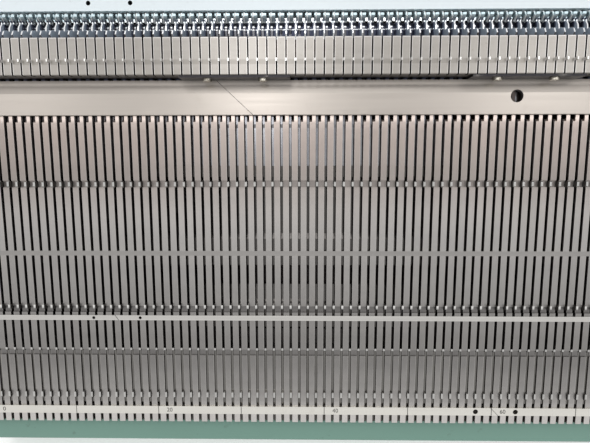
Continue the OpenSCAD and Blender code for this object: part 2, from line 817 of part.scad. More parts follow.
module front_bed() { color(steel) front_side() front_bed_plate(); }
module front_bed_bolts() { color(dark_steel) front_side() bed_bolts(0); }
module front_sinker_bar() { color(steel) front_side() sinker_bar(); }
module front_sinker_wire() { color(dark_steel) front_side() sinker_wire(); }
module front_keeper_plates() { color(dark_steel) front_side() keeper_plates(); }
module front_keeper_screws() { color(dark_steel) front_side() keeper_screws(); }
module front_cover_strip_left() { color(steel) front_side() cover_strip(false); }
module front_cover_strip_right() { color(steel) front_side() cover_strip(true); }
module front_flush_strip() {
    color(steel) front_side()
        long_bar(flush_start, flush_start + flush_width, -strip_seat, 0);
}
module front_jack_strip_left() { color(steel) front_side() jack_strip(false); }
module front_jack_strip_right() { color(steel) front_side() jack_strip(true); }
module front_scale_strip_left() { color(steel) front_side() scale_strip(false); }
module front_scale_strip_right() { color(steel) front_side() scale_strip(true); }
module front_needles() { color(blue_steel) front_side() sliding_row(bank) bank_needle(); }
module front_needle_jacks() { color(steel) front_side() sliding_row(bank) needle_jack(); }
module front_lifting_jacks() { color(steel) front_side() sliding_row(bank) lifting_jack(); }
module front_selectors() { color(steel) front_side() sliding_row(bank) selector(); }
module front_sinkers() { color(blue_steel) front_side() row(bank) sinker(); }

module single_needle(k) { color(blue_steel) front_side() sliding_row([singles[k - 1]]) needle(); }
module single_latch(k) { color(blue_steel) front_side() sliding_row([singles[k - 1]]) latch(); }
module single_needle_jack(k) { color(steel) front_side() sliding_row([singles[k - 1]]) needle_jack(); }
module single_lifting_jack(k) { color(steel) front_side() sliding_row([singles[k - 1]]) lifting_jack(); }
module single_selector(k) { color(steel) front_side() sliding_row([singles[k - 1]]) selector(); }
module single_sinker(k) { color(blue_steel) front_side() row([singles[k - 1]]) sinker(5, 4); }

module rear_bed() { color(steel) rear_side() bed_blank(); }
module rear_bed_bolts() { color(dark_steel) rear_side() bed_bolts(0.3); }
module rear_comb_plates() { color(blue_steel) rear_side() row(all_needles) comb_plate(); }
module rear_rail() { color(pale_paint) rear_side() rail_body(); }
module rear_cover_strip() { color(steel) rear_side() plain_strip(cover_start, cover_width, cover_rise); }
module rear_flush_strip() { color(steel) rear_side() plain_strip(flush_start, flush_width, jack_strip_rise); }
module rear_jack_strip() {
    color(steel) rear_side() plain_strip(jack_strip_start, jack_strip_width, jack_strip_rise);
}
module rear_scale_strip() { color(steel) rear_side() plain_strip(scale_start, scale_width, scale_rise); }
module rear_needles() { color(blue_steel) rear_side() sliding_row(all_needles) plain_needle(); }
module rear_needle_jacks() { color(steel) rear_side() sliding_row(all_needles) plain_needle_jack(); }
module rear_lifting_jacks() { color(steel) rear_side() sliding_row(all_needles) plain_lifting_jack(); }
module rear_selectors() { color(steel) rear_side() sliding_row(all_needles) plain_selector(); }

base_casting();
front_bed();
front_bed_bolts();
front_sinker_bar();
front_sinker_wire();
front_keeper_plates();
front_keeper_screws();
front_cover_strip_left();
front_cover_strip_right();
front_flush_strip();
front_jack_strip_left();
front_jack_strip_right();
front_scale_strip_left();
front_scale_strip_right();
front_needles();
front_needle_jacks();
front_lifting_jacks();
front_selectors();
front_sinkers();
single_needle(1);  // needle_1
single_latch(1);  // latch_1
single_needle_jack(1);  // needle_jack_1
single_lifting_jack(1);  // lifting_jack_1
single_selector(1);  // selector_1
single_sinker(1);  // sinker_1
single_needle(2);  // needle_2
single_latch(2);  // latch_2
single_needle_jack(2);  // needle_jack_2
single_lifting_jack(2);  // lifting_jack_2
single_selector(2);  // selector_2
single_sinker(2);  // sinker_2
single_needle(3);  // needle_3
single_latch(3);  // latch_3
single_needle_jack(3);  // needle_jack_3
single_lifting_jack(3);  // lifting_jack_3
single_selector(3);  // selector_3
single_sinker(3);  // sinker_3
rear_bed();
rear_bed_bolts();
rear_comb_plates();
rear_rail();
rear_cover_strip();
rear_flush_strip();
rear_jack_strip();
rear_scale_strip();
rear_needles();
rear_needle_jacks();
rear_lifting_jacks();
rear_selectors();
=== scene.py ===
"""Looks of the knitting machine's needle bed unit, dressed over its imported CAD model."""
import math

import bmesh
import bpy
from mathutils import Matrix, Vector


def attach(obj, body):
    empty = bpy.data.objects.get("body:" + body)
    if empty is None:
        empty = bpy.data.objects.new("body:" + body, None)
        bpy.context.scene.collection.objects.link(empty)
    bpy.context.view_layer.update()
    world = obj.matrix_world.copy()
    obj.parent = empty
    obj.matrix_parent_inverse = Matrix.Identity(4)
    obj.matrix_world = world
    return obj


MM = 0.001

# Sizes of the CAD model, in millimetres
NEEDLES = 76
PITCH = 5.08
END_MARGIN = 4
BED_HALF = NEEDLES * PITCH / 2 + END_MARGIN
THROAT_OFFSET = 3.6607
THROAT_HEIGHT = 218.4537
SLOPE = math.radians(45)
TRICK_WIDTH = 1.7
POCKET_WIDTH = 1.37
SINKER_SLOT = 0.9
SINKER_SIDE = (PITCH + POCKET_WIDTH) / 2
BAR_START = 11.7
BAR_HEIGHT = 10.9
COVER_START = 32.3
COVER_BEVEL = 7.2
COVER_RISE = 1.8
JACK_STRIP_START = 168.4
JACK_STRIP_WIDTH = 3
JACK_STRIP_RISE = 0.3
SCALE_START = 225.8
SCALE_WIDTH = 4.9
SCALE_RISE = 0.8
SCALE_MIDDLE = SCALE_START + SCALE_WIDTH / 2
SCALE_STEP = 10
RAIL_START = 3
RAIL_HOLES = (101.1, 125.1)
RAIL_HOLE_HEIGHT = 7.1
RAIL_HOLE_RADIUS = 1.3
RAIL_HOLE_DEPTH = 8

# One height for all the rear strips, between the cover strip's rise and the low ones', under which they
# get painted shade
REAR_STRIPS_LEVEL = 1.2

# Fillings and numbers of the scale, in millimetres
FILLING_WIDTH = 0.36
FILLING_DEPTH = 0.3
FILLING_BEVEL = 0.04
NUMBER_HEIGHT = 3.6
NUMBER_THICKNESS = 0.06
NUMBER_SHIFT = 5

# The photograph's camera: its place along the bed, down the slope and out of it, its angles in degrees,
# and its focal length in pixels of a picture of this width
CAMERA_PLACE = (-1.497, 80.67, 250.64)
CAMERA_LEAN = 7.059
CAMERA_YAW = -0.793
CAMERA_ROLL = 0.028
FOCAL_PIXELS = 434.78
PICTURE_WIDTH = 590

# Shift along the bed, in millimetres, that keeps faces off the exact line between two needles
HAIR = 0.0001

# Colours for the steel: oil and grease, which also paint the shade in its recesses, a blue-black painted
# shade, and a white of polish and painted highlight
OIL_AND_SHADE = (0.02, 0.016, 0.016)
GREASE_AND_SHADE = (0.06, 0.055, 0.055)
BLUE_BLACK_SHADE = (0.055, 0.062, 0.092)
POLISH_AND_HIGHLIGHT = (0.90, 0.93, 0.95)

# Strength of the white surround as the camera and reflections see it, and as a light
SURROUND_SEEN = 0.95
SURROUND_LIGHT = 0.6
# Glow that only the camera sees on the floor
FLOOR_GLOW = 0.3

# Tone of the wall tops down the bed: where it changes, over what width and by how much
WALL_TOP_TONES = (
    (54.5, 3, -0.98), (58.5, 4, -0.18), (66, 10, -0.07), (78, 12, -0.1), (92, 5, 0.19), (101, 10, 0.08),
    (118, 16, -0.08), (134, 14, -0.13), (150, 12, -0.08), (162, 5, -0.1), (170, 4, 0.06), (179, 6, -0.08),
    (190, 4, -0.07), (203, 12, 0.16), (213, 5, 0.1), (219, 4, 0.11), (223, 2.5, 0.2), (228, 4, 0.45),
)

DOWN = Vector((0, -math.cos(SLOPE), -math.sin(SLOPE)))
OUT = Vector((0, -math.sin(SLOPE), math.cos(SLOPE)))


def bed_point(x, down, out):
    """A point of the front bed in metres, from its place along the bed, down its slope and out of it."""
    throat = Vector((0, -THROAT_OFFSET, THROAT_HEIGHT))
    return (Vector((x, 0, 0)) + throat + DOWN * down + OUT * out) * MM


def needle_x(index):
    return (index - (NEEDLES - 1) / 2) * PITCH


class Finish:
    """A material of the unit. Its fields are numbers that nodes work out over the surface."""

    def __init__(self, name):
        self.material = bpy.data.materials.new(name)
        self.material.use_nodes = True
        self.tree = self.material.node_tree
        self.shader = self.tree.nodes["Principled BSDF"]
        self.place = self.node("ShaderNodeTexCoord").outputs["Object"]
        self.normal = self.node("ShaderNodeNewGeometry").outputs["Normal"]

    def node(self, kind, **settings):
        made = self.tree.nodes.new(kind)
        for name, value in settings.items():
            setattr(made, name, value)
        return made

    def put(self, socket, value):
        if isinstance(value, bpy.types.NodeSocket):
            self.tree.links.new(value, socket)
        elif isinstance(value, (tuple, list)) and len(value) == 3 and socket.type == "RGBA":
            socket.default_value = (*value, 1)
        else:
            socket.default_value = value

    def calc(self, operation, *values):
        node = self.node("ShaderNodeMath", operation=operation)
        for socket, value in zip(node.inputs, values):
            self.put(socket, value)
        return node.outputs[0]

    def plus(self, first, *others):
        for other in others:
            first = self.calc("ADD", first, other)
        return first

    def times(self, first, *others):
        for other in others:
            first = self.calc("MULTIPLY", first, other)
        return first

    def highest(self, first, *others):
        for other in others:
            first = self.calc("MAXIMUM", first, other)
        return first

    def rest_of(self, share):
        """What a share leaves of one."""
        return self.calc("SUBTRACT", 1.0, share)

    def step(self, value, low, high):
        """0 where the value is at or under low, 1 at or over high, smooth between."""
        node = self.node("ShaderNodeMapRange", interpolation_type="SMOOTHSTEP")
        for name, number in (("Value", value), ("From Min", low), ("From Max", high)):
            self.put(node.inputs[name], number)
        return node.outputs["Result"]

    def span(self, value, low, high):
        """A value from 0 to 1 brought between two others."""
        node = self.node("ShaderNodeMapRange")
        for name, number in (("Value", value), ("To Min", low), ("To Max", high)):
            self.put(node.inputs[name], number)
        return node.outputs["Result"]

    def tones(self, value, start, *changes):
        """A tone that changes over a surface; each change is a place, its width and an amount."""
        tone = start
        for place, width, amount in changes:
            ramp = self.step(value, place - width / 2, place + width / 2)
            tone = self.calc("MULTIPLY_ADD", ramp, amount, tone)
        return tone

    def band(self, value, low, high, soft):
        """1 between two places, falling to 0 over a soft edge outside them."""
        return self.times(self.step(value, low - soft, low), self.step(value, high + soft, high))

    def dot(self, vector, direction, offset=0.0):
        node = self.node("ShaderNodeVectorMath", operation="DOT_PRODUCT")
        self.put(node.inputs[0], vector)
        node.inputs[1].default_value = direction
        if offset == 0:
            return node.outputs["Value"]
        return self.plus(node.outputs["Value"], offset)

    def noise(self, scale, detail=3.0, roughness=0.5, stretch=(1, 1, 1), turn=(0, 0, 0)):
        """Cloudy noise; scale is in waves to the metre before the stretch."""
        mapping = self.node("ShaderNodeMapping", vector_type="POINT")
        self.put(mapping.inputs["Vector"], self.place)
        mapping.inputs["Rotation"].default_value = turn
        mapping.inputs["Scale"].default_value = stretch
        node = self.node("ShaderNodeTexNoise")
        self.put(node.inputs["Vector"], mapping.outputs["Vector"])
        node.inputs["Scale"].default_value = scale
        node.inputs["Detail"].default_value = detail
        node.inputs["Roughness"].default_value = roughness
        return node.outputs["Fac"]

    def chance(self, value):
        """A number from 0 to 1 that is the same for all of one whole number."""
        node = self.node("ShaderNodeTexWhiteNoise", noise_dimensions="1D")
        self.put(node.inputs["W"], self.calc("FLOOR", value))
        return node.outputs["Value"]

    def mix(self, share, first, second, kind="MIX"):
        node = self.node("ShaderNodeMix", data_type="RGBA", blend_type=kind)
        self.put(node.inputs["Factor"], share)
        self.put(node.inputs[6], first)
        self.put(node.inputs[7], second)
        return node.outputs[2]

    def shade(self, colour, amount):
        """A colour made darker or lighter by a field."""
        node = self.node("ShaderNodeVectorMath", operation="SCALE")
        self.put(node.inputs[0], colour)
        self.put(node.inputs["Scale"], amount)
        return node.outputs["Vector"]

    def coat(self, colour, roughness, metallic=1.0, bumps=()):
        self.put(self.shader.inputs["Base Color"], colour)
        self.put(self.shader.inputs["Roughness"], roughness)
        self.put(self.shader.inputs["Metallic"], metallic)
        normal = None
        for height, distance in bumps:
            bump = self.node("ShaderNodeBump")
            bump.inputs["Strength"].default_value = 1
            bump.inputs["Distance"].default_value = distance * MM
            self.put(bump.inputs["Height"], height)
            if normal is not None:
                self.put(bump.inputs["Normal"], normal)
            normal = bump.outputs["Normal"]
        if normal is not None:
            self.put(self.shader.inputs["Normal"], normal)
        return self.material


class BedFinish(Finish):
    """A finish that knows where it is on a bed: along, down its slope and out of it, in millimetres."""

    def __init__(self, name, rear=False):
        super().__init__(name)
        side = -1 if rear else 1
        k = 1 / MM
        c, s = math.cos(SLOPE), math.sin(SLOPE)
        # The rear bed's needles stand between the front bed's
        shift = PITCH / 2 if rear else 0
        self.along = self.dot(self.place, (side * k, 0, 0), shift + HAIR)
        self.down = self.dot(
            self.place, (0, -side * c * k, -s * k), -THROAT_OFFSET * c + THROAT_HEIGHT * s
        )
        self.out = self.dot(
            self.place, (0, -side * s * k, c * k), -THROAT_OFFSET * s - THROAT_HEIGHT * c
        )
        self.sideways = self.calc("ABSOLUTE", self.dot(self.normal, (1, 0, 0)))
        self.facing = self.dot(self.normal, (0, -side * s, c))
        # Place to the right of the nearest needle at the left, and that needle's number
        turns = self.plus(self.calc("DIVIDE", self.along, PITCH), 0.5 + NEEDLES / 2)
        self.number = self.calc("FLOOR", turns)
        self.beside = self.times(self.calc("FRACT", turns), PITCH)

    def near(self, place, reach):
        """1 at a place beside each needle, falling to 0 at a reach from it."""
        gap = self.calc("ABSOLUTE", self.calc("SUBTRACT", self.beside, place))
        return self.step(gap, reach, 0)

    def grain_down(self):
        """Fine lines that run down the slope."""
        return self.noise(900, 4, 0.6, (1, 0.04, 1), (-SLOPE, 0, 0))

    def plate_ends(self):
        """1 on the two end faces of a plate or bar as long as the bed."""
        return self.step(self.calc("ABSOLUTE", self.along), BED_HALF - 0.06, BED_HALF - 0.02)

    def throat_face(self):
        """1 on the upright face that the rear bed turns to the throat."""
        return self.step(self.facing, -0.55, -0.65)


class PlateFinish(BedFinish):
    """A finish for thin stamped plates, with flat sides and narrow rubbed edges."""

    def __init__(self, name, rear=False):
        super().__init__(name, rear)
        self.flat = self.step(self.sideways, 0.5, 0.9)
        self.cloud = self.noise(240, 4, 0.6)

    def mottled(self, colour, low, high):
        return self.shade(colour, self.span(self.cloud, low, high))

    def coat_plate(self, colour, metallic=1.0, edge=0.16, side=0.42):
        """Covers a plate; edge and side are how rough its edges and its sides are."""
        rough = self.span(self.plus(self.flat, self.times(self.cloud, 0.3)), edge, side)
        return self.coat(colour, rough, metallic, [(self.cloud, 0.01)])


def wall_top_steel(f, cloud, grain):
    """Steel of the wall tops, ground bright, its tone changing in bands down the bed, and brightest as a
    painted highlight just below the cover strip.
    """
    streak = f.noise(260, 3, 0.6, (1, 0.12, 1), (-SLOPE, 0, 0))
    own = f.chance(f.number)
    tone = f.plus(f.span(cloud, 0.9, 1.1), f.span(grain, -0.07, 0.07), f.span(own, -0.04, 0.04))
    # Tone 2.2 above the first change: a painted highlight against the shade under the cover strip's lower
    # edge
    tone = f.times(tone, f.tones(f.down, 2.2, *WALL_TOP_TONES))
    cool = f.mix(streak, (0.358, 0.34, 0.326), (0.325, 0.315, 0.305))
    warm = f.mix(streak, (0.37, 0.312, 0.284), (0.335, 0.29, 0.265))
    steel = f.shade(f.mix(f.step(f.down, 125, 60), cool, warm), tone)
    edge = f.highest(f.near(TRICK_WIDTH / 2, 0.35), f.near(PITCH - TRICK_WIDTH / 2, 0.45))
    edge = f.times(edge, f.step(f.noise(70, 3, 0.6), 0.25, 0.6))
    return f.mix(f.times(edge, 0.4), steel, (0.60, 0.58, 0.55))


def oiled(f, steel):
    """Steel with grease and painted shade in the cross grooves and all else under the wall tops, and with
    oil and deeper painted shade in the tricks.
    """
    # Grease and painted shade just under the wall tops
    grease_and_shade = f.times(f.step(f.out, -0.1, -0.5), f.tones(f.down, 0.25, (125, 50, 0.25), (187, 4, -0.22)))
    steel = f.mix(grease_and_shade, steel, GREASE_AND_SHADE)
    # Oil and painted shade deeper in the tricks, less of it between 172 and 189 mm down the bed
    oil_and_shade = f.times(f.step(f.out, -0.85, -1.6), f.tones(f.down, 0.96, (172, 3, -0.5), (189, 2, 0.4)))
    return f.mix(oil_and_shade, steel, OIL_AND_SHADE)


def rear_throat_steel(f, steel, face, cloud):
    """The rear plate at the throat: a dull stained face, darker low in the throat as painted shade, one
    polished line painted white as a highlight, and wall tops painted pale as painted light.
    """
    stain = f.shade((0.31, 0.37, 0.41), f.span(cloud, 0.6, 1.4))
    # Painted shade low in the throat
    stain = f.mix(f.step(f.out, -4.2, -4.6), stain, (0.06, 0.065, 0.09))
    steel = f.mix(face, steel, stain)
    # A line polished and painted white as a highlight
    polished_and_highlight = f.times(face, f.band(f.out, -4.1, -3.85, 0.2))
    steel = f.mix(polished_and_highlight, steel, (0.88, 0.92, 0.94))
    # Wall tops near the throat painted pale: painted light in a shaded hollow
    top = f.times(f.step(f.down, 9, 6), f.step(f.out, -2.6, -1.6))
    return f.mix(top, steel, f.shade((0.56, 0.68, 0.72), f.span(cloud, 0.75, 1.2)))


def front_throat_steel(f, steel):
    """The front plate above the cover strip in blue-black painted shade, under the sinker bar and in the
    throat, but for white lines: the throat edge, polished by the yarn, and painted highlight lines on the
    trick floors and walls.
    """
    # Blue-black painted shade above the cover strip
    steel = f.mix(f.step(f.down, COVER_START, COVER_START - 0.4), steel, BLUE_BLACK_SHADE)
    # White lines: the polished throat edge, and painted highlight lines across the trick floors and walls
    edge_line = f.band(f.down, 0.85, 1.4, 0.3)
    floor_line = f.times(f.band(f.down, 3.95, 4.2, 0.2), f.step(f.out, -2, -3))
    wall_line = f.times(f.band(f.down, 4.95, 5.2, 0.2), f.step(f.out, -3, -2))
    return f.mix(f.highest(edge_line, f.plus(floor_line, wall_line)), steel, POLISH_AND_HIGHLIGHT)


def ground_steel_bed(rear=False):
    """A bed plate: wall tops in bands of tone, grease, oil and painted shade under them, painted light at
    the rear plate's throat, ends milled bare.
    """
    f = BedFinish("rear_bed_ground_steel" if rear else "bed_ground_steel", rear)
    cloud = f.noise(22, 4, 0.55)
    grain = f.grain_down()
    steel = oiled(f, wall_top_steel(f, cloud, grain))
    if rear:
        face = f.throat_face()
        steel = rear_throat_steel(f, steel, face, cloud)
        metal = f.span(face, 1.0, 0.15)
    else:
        steel = front_throat_steel(f, steel)
        metal = 1.0
    marks = f.noise(500, 4, 0.6, (1, 0.06, 1), (-SLOPE, 0, 0))
    steel = f.mix(f.plate_ends(), steel, f.shade((0.33, 0.315, 0.30), f.span(marks, 0.75, 1.2)))
    rough = f.span(f.plus(grain, cloud), 0.26, 0.42)
    return f.coat(steel, rough, metal, [(grain, 0.012), (cloud, 0.03)])


def bar_steel():
    """The sinker bar's blocks, ground along the bar, a dull line rubbed across them by the cams, painted
    highlights on their edges, and oil and painted shade in the slots.
    """
    f = BedFinish("sinker_bar_steel")
    block = f.calc("SUBTRACT", f.calc("DIVIDE", f.along, PITCH), SINKER_SIDE / PITCH - 0.5 - NEEDLES / 2)
    own = f.chance(block)
    lines = f.noise(420, 3, 0.65, (0.05, 1, 1))
    cloud = f.noise(30, 3, 0.5)
    smears = f.noise(120, 4, 0.6, (0.6, 1, 1))
    tone = f.plus(f.span(own, 0.95, 1.04), f.span(lines, -0.09, 0.09), f.span(smears, -0.1, 0.1))
    steel = f.shade(f.mix(own, (0.34, 0.318, 0.293), (0.31, 0.293, 0.273)), tone)
    spots = f.step(f.noise(700, 4, 0.7), 0.6, 0.72)
    steel = f.mix(f.times(spots, 0.3), steel, (0.16, 0.125, 0.095))
    # The sinkers' butts and the cams rub a dull line across the blocks
    rub = f.band(f.down, 23.6, 25.6, 0.5)
    steel = f.mix(f.times(rub, 0.6), steel, (0.23, 0.215, 0.195))
    # Painted highlight along each block's side edges and the bar's upper edge
    left = f.near(SINKER_SIDE - SINKER_SLOT / 2, 0.4)
    right = f.near(SINKER_SIDE + SINKER_SLOT / 2, 0.4)
    upper = f.step(f.down, BAR_START + 0.9, BAR_START + 0.3)
    steel = f.mix(f.times(f.highest(left, right, upper), 0.5), steel, (0.90, 0.88, 0.86))
    # Oil and painted shade darken the slots and the arch; the bar's end faces get little of it
    deep = f.times(f.step(f.out, BAR_HEIGHT - 0.04, BAR_HEIGHT - 0.9), f.span(f.plate_ends(), 0.97, 0.2))
    steel = f.mix(deep, steel, (0.03, 0.024, 0.022))
    rough = f.span(f.plus(lines, cloud), 0.2, 0.34)
    return f.coat(steel, rough, 1.0, [(lines, 0.01), (cloud, 0.04)])


def strip_steel(name, rise, tint, rear=False, bevel=None, rim=None):
    """Bright flat strip, drawn and ground along its length, with painted shade under its upper face.

    rise is its height over the wall tops, where the painted shade begins. bevel is the start and the width
    of a bevelled upper edge, painted lighter and darker as light falls on it, and rim the start and the
    width of a strip whose long edges are rubbed and painted brighter as a highlight.
    """
    f = BedFinish(name, rear)
    lines = f.noise(500, 4, 0.6, (0.02, 1, 1))
    cloud = f.noise(14, 3, 0.5)
    stain = f.step(f.noise(60, 5, 0.7), 0.56, 0.75)
    tone = f.plus(f.span(lines, 0.94, 1.06), f.span(cloud, -0.06, 0.06))
    metal = 1.0
    if bevel:
        start, width = bevel
        # The bevel's top, in the sinker bar's shadow, is painted bright and less metallic as a painted
        # highlight; below it the bevel is painted darker, a painted reflection of the bar's dark underside
        tone = f.times(tone, f.tones(f.down, 2.65, (start + 2.6, 1.8, -1.77), (start + width, 0.5, 0.14)))
        metal = f.tones(f.down, 0.3, (start + 2.6, 1.6, 0.7))
    steel = f.mix(f.times(stain, 0.15), f.shade(tint, tone), (0.42, 0.38, 0.33))
    if rim:
        start, width = rim
        # Long edges painted brighter: rubbed, and a painted highlight
        inner = f.band(f.down, start + 0.7, start + width - 0.7, 0.4)
        steel = f.mix(f.times(f.rest_of(inner), 0.15), steel, (0.86, 0.84, 0.81))
    # Painted shade on the strip's sides under its upper face
    deep = f.step(f.out, rise - 0.2, rise - 1.4)
    steel = f.mix(f.times(deep, 0.7), steel, (0.12, 0.11, 0.10))
    rough = f.span(f.plus(lines, stain), 0.24, 0.4)
    return f.coat(steel, rough, metal, [(lines, 0.008), (cloud, 0.03)])


def sinker_steel():
    """Sinkers: blued flat sides, edges polished by the yarn and painted near white as a highlight, butts
    rubbed by the cams, painted shade inside the bar.
    """
    f = PlateFinish("sinker_plate_steel")
    butt = f.step(f.out, BAR_HEIGHT - 0.5, BAR_HEIGHT + 0.3)
    not_butt = f.rest_of(butt)
    own = f.chance(f.number)
    side = f.mix(butt, f.mottled((0.44, 0.51, 0.59), 0.75, 1.3), (0.62, 0.61, 0.60))
    # Edges polished by the yarn, painted near white as a highlight
    edge = f.shade((0.95, 0.96, 0.97), f.plus(f.span(f.cloud, 0.92, 1.03), f.span(own, -0.08, 0.02)))
    edge = f.mix(butt, edge, f.shade((0.84, 0.83, 0.80), f.span(own, 0.5, 1)))
    # Painted shade: near black where the sinkers sit inside the bar's slots
    in_bar = f.times(f.step(f.down, BAR_START + 0.2, BAR_START + 1), not_butt)
    colour = f.mix(in_bar, f.mix(f.flat, edge, side), (0.05, 0.04, 0.036))
    return f.coat_plate(colour, f.span(f.times(f.flat, not_butt), 1.0, 0.3))


def comb_steel():
    """The rear bed's comb plates, painted pale as painted light and dull on their sides, and darker low in
    the throat as painted shade.
    """
    f = PlateFinish("comb_plate_steel", True)
    # Sides and edges painted pale: painted light on plates that sit in shadow
    side = f.mottled((0.80, 0.89, 0.92), 0.9, 1.08)
    edge = f.mottled((0.93, 0.96, 0.97), 0.95, 1.03)
    face = f.throat_face()
    # Painted shade low in the throat
    low = f.times(face, f.step(f.out, -4.2, -4.6))
    edge = f.mix(low, edge, (0.09, 0.10, 0.13))
    return f.coat_plate(f.mix(f.flat, edge, side), f.span(face, 0.8, 0.15), 0.2, 0.45)


def needle_steel(rear=False):
    """Needles and latches: hooks polished by the yarn and painted near white as a highlight, a painted
    highlight line below them, sides and stems dull with old oil; the rear needles' sides and stems painted
    pale as painted light.
    """
    f = PlateFinish("rear_needle_steel" if rear else "needle_steel", rear)
    # The rear needles are a lit copy: pale sides and stems as painted light
    side = f.mottled((0.62, 0.72, 0.76) if rear else (0.12, 0.12, 0.13), 0.7, 1.3)
    stem = f.mottled((0.50, 0.58, 0.61) if rear else (0.16, 0.16, 0.175), 0.7, 1.3)
    hook = f.mottled((0.93, 0.94, 0.95), 0.94, 1.04)
    tail = f.times(f.step(f.down, 50, 56), 0.1)
    # Hooks, a painted highlight line at 4.75 to 4.95 mm down the bed, and a faint rubbed lightening of the
    # stems further down
    polished_and_highlight = f.highest(f.step(f.down, 3.8, 3.4), f.band(f.down, 4.75, 4.95, 0.15), tail)
    return f.coat_plate(f.mix(f.flat, f.mix(polished_and_highlight, stem, hook), side))


def jack_steel(rear=False):
    """Jacks and selectors: black with oil, darker with oil and painted shade deeper in their tricks, their
    butts rubbed bright by the cams.
    """
    f = PlateFinish("rear_jack_steel" if rear else "jack_steel", rear)
    side = f.mottled((0.10, 0.095, 0.09), 0.7, 1.35)
    tone = f.plus(f.span(f.cloud, 0.9, 1.05), f.span(f.chance(f.number), -0.14, 0.1))
    bright = f.tones(f.down, 0.85, (150, 4, 0.3), (163, 1.4, -0.6), (184, 4, 0.27))
    edge = f.shade((0.62, 0.61, 0.59), f.times(tone, bright))
    # The selectors' backs are dull, with a painted highlight at their upper ends
    back = f.times(f.step(f.out, 0.2, -0.5), f.step(f.down, 186, 187))
    dull_and_highlit = f.times(tone, f.tones(f.down, 2.2, (190, 1.2, -1.2)))
    edge = f.mix(back, edge, f.shade((0.165, 0.158, 0.148), dull_and_highlit))
    # Oil and painted shade deeper in the tricks
    oil_and_shade = f.times(f.step(f.out, -0.9, -2.2), f.tones(f.down, 0.9, (178, 4, -0.5), (188, 2, 0.3)))
    return f.coat_plate(f.mix(oil_and_shade, f.mix(f.flat, edge, side), (0.03, 0.026, 0.024)))


def black_steel():
    """Blackened screws, bolts and plates, rubbed through in patches."""
    f = BedFinish("blackened_steel")
    cloud = f.noise(160, 5, 0.65)
    rubbed = f.step(cloud, 0.52, 0.8)
    colour = f.mix(rubbed, (0.035, 0.033, 0.037), (0.17, 0.16, 0.15))
    return f.coat(colour, f.span(cloud, 0.28, 0.55), 0.85, [(cloud, 0.04)])


def screw_steel():
    """Zinc screw heads, darkened by oil in patches."""
    f = BedFinish("screw_steel")
    cloud = f.noise(500, 4, 0.6)
    colour = f.mix(f.step(cloud, 0.45, 0.65), (0.52, 0.49, 0.42), (0.2, 0.18, 0.15))
    return f.coat(colour, f.span(cloud, 0.2, 0.4), 1.0, [(cloud, 0.05)])


def green_paint():
    """Machine enamel over cast iron: slightly orange-peeled, stained with oil and lint."""
    f = Finish("green_enamel")
    cloud = f.noise(9, 4, 0.55)
    peel = f.noise(700, 2, 0.5)
    cast = f.noise(60, 3, 0.5)
    spots = f.step(f.noise(95, 4, 0.65), 0.64, 0.74)
    colour = f.mix(cloud, (0.155, 0.287, 0.234), (0.178, 0.322, 0.265))
    colour = f.mix(f.times(spots, 0.6), colour, (0.08, 0.13, 0.105))
    rough = f.span(cloud, 0.28, 0.42)
    return f.coat(colour, rough, 0.0, [(peel, 0.02), (cast, 0.15)])


def pale_paint():
    """Pale enamel of the rail, with dust."""
    f = BedFinish("pale_enamel", True)
    cloud = f.noise(16, 4, 0.55)
    peel = f.noise(600, 2, 0.5)
    dust = f.step(f.noise(300, 5, 0.7), 0.6, 0.8)
    colour = f.mix(cloud, (0.77, 0.84, 0.875), (0.81, 0.88, 0.91))
    colour = f.mix(f.times(dust, 0.35), colour, (0.45, 0.47, 0.47))
    # Painted shade blackens the inside of the two screw holes in its front face
    depth = f.band(f.down, RAIL_START + 0.15, RAIL_START + RAIL_HOLE_DEPTH + 0.2, 0.1)
    over = f.calc("SUBTRACT", f.out, RAIL_HOLE_HEIGHT)
    for place in RAIL_HOLES:
        across = f.calc("SUBTRACT", f.along, place)
        reach = f.calc("SQRT", f.plus(f.times(across, across), f.times(over, over)))
        hole_shade = f.times(depth, f.step(reach, RAIL_HOLE_RADIUS + 0.15, RAIL_HOLE_RADIUS + 0.06))
        colour = f.mix(hole_shade, colour, (0.02, 0.022, 0.024))
    return f.coat(colour, f.span(cloud, 0.25, 0.4), 0.0, [(peel, 0.02)])


def dark_ink():
    """Black filling of the scale's marks and numbers."""
    f = Finish("scale_ink")
    grit = f.noise(900, 3, 0.6)
    colour = f.mix(grit, (0.03, 0.028, 0.026), (0.07, 0.065, 0.06))
    return f.coat(colour, f.span(grit, 0.5, 0.7), 0.0, [(grit, 0.01)])


def dress(nodes, material):
    """Gives every slot of these CAD nodes one finish."""
    for name in nodes:
        mesh = NODES[name].data
        mesh.materials.clear()
        mesh.materials.append(material)
        mesh.polygons.foreach_set("material_index", [0] * len(mesh.polygons))


def new_piece(name, mesh_work, material, body):
    """An object at the origin from a finished bmesh, riding on a body."""
    bmesh.ops.recalc_face_normals(mesh_work, faces=mesh_work.faces)
    mesh = bpy.data.meshes.new(name)
    mesh_work.to_mesh(mesh)
    mesh_work.free()
    mesh.materials.append(material)
    piece = bpy.data.objects.new(name, mesh)
    bpy.context.scene.collection.objects.link(piece)
    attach(piece, body)
    return piece


def bed_matrix(x, down, out):
    """Stands a piece drawn flat, X along the bed and Y up its slope, at a place of the front bed."""
    turn = Matrix.Rotation(SLOPE, 4, "X")
    return Matrix.Translation(bed_point(x, down, out)) @ turn


